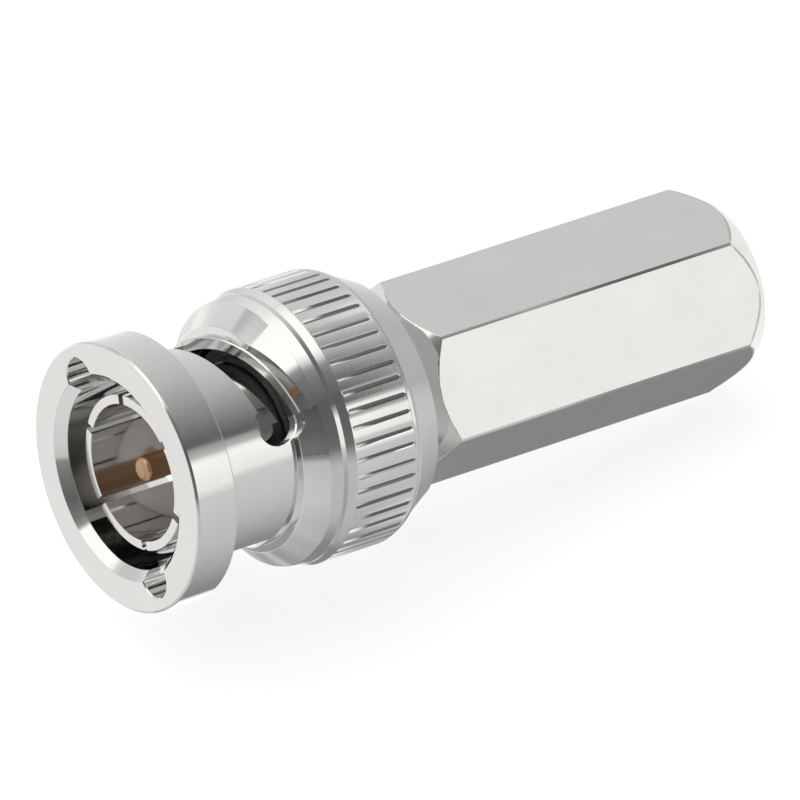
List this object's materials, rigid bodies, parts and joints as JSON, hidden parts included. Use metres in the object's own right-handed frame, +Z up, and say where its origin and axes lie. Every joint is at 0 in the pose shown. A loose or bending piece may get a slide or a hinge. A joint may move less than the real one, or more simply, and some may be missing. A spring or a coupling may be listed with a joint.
{
  "type": "bnc connector",
  "caption": "Male coaxial cable plug: bayonet coupling nut with spiral slots and a knurled grip, slotted outer contact, centre pin and a long hexagonal barrel for the cable.",
  "frame": {"origin": "on the plug's axis, in the plane of the outer contact's tip", "axes": "+X along the plug towards the cable, +Z up with one flat of the hexagonal barrel facing -Z"},
  "size_m": [0.0375, 0.0144, 0.0144],
  "materials": {
    "nickel": "bright nickel plate",
    "gold": "plated, bright",
    "spring_copper": "plain",
    "white_insulator": "waxy",
    "gasket_rubber": "soft",
    "spring_steel": "plain"
  },
  "bodies": {
    "plug_body": {"hex_body": "nickel", "outer_contact": "nickel", "centre_pin": "gold", "conductor_clip": "spring_copper", "front_insulator": "white_insulator", "rear_insulator": "white_insulator", "gasket": "gasket_rubber", "snap_ring": "spring_steel", "seat_washer": "spring_steel", "wave_washers": "spring_steel"},
    "nut_carrier": {"thrust_washer": "spring_steel"},
    "nut": {"coupling_nut": "nickel"}
  },
  "joints": [
    {"name": "nut_slide", "type": "slide", "parent": "plug_body", "child": "nut_carrier", "axis": [-1, 0, 0], "range_m": [0, 0.0007], "stiffness_N_per_m": 8000, "springref_m": -0.0005, "deforming": ["wave_washers"]},
    {"name": "nut_turn", "type": "hinge", "parent": "nut_carrier", "child": "nut", "pos_m": [0, 0, 0], "axis": [1, 0, 0], "continuous": true}
  ]
}
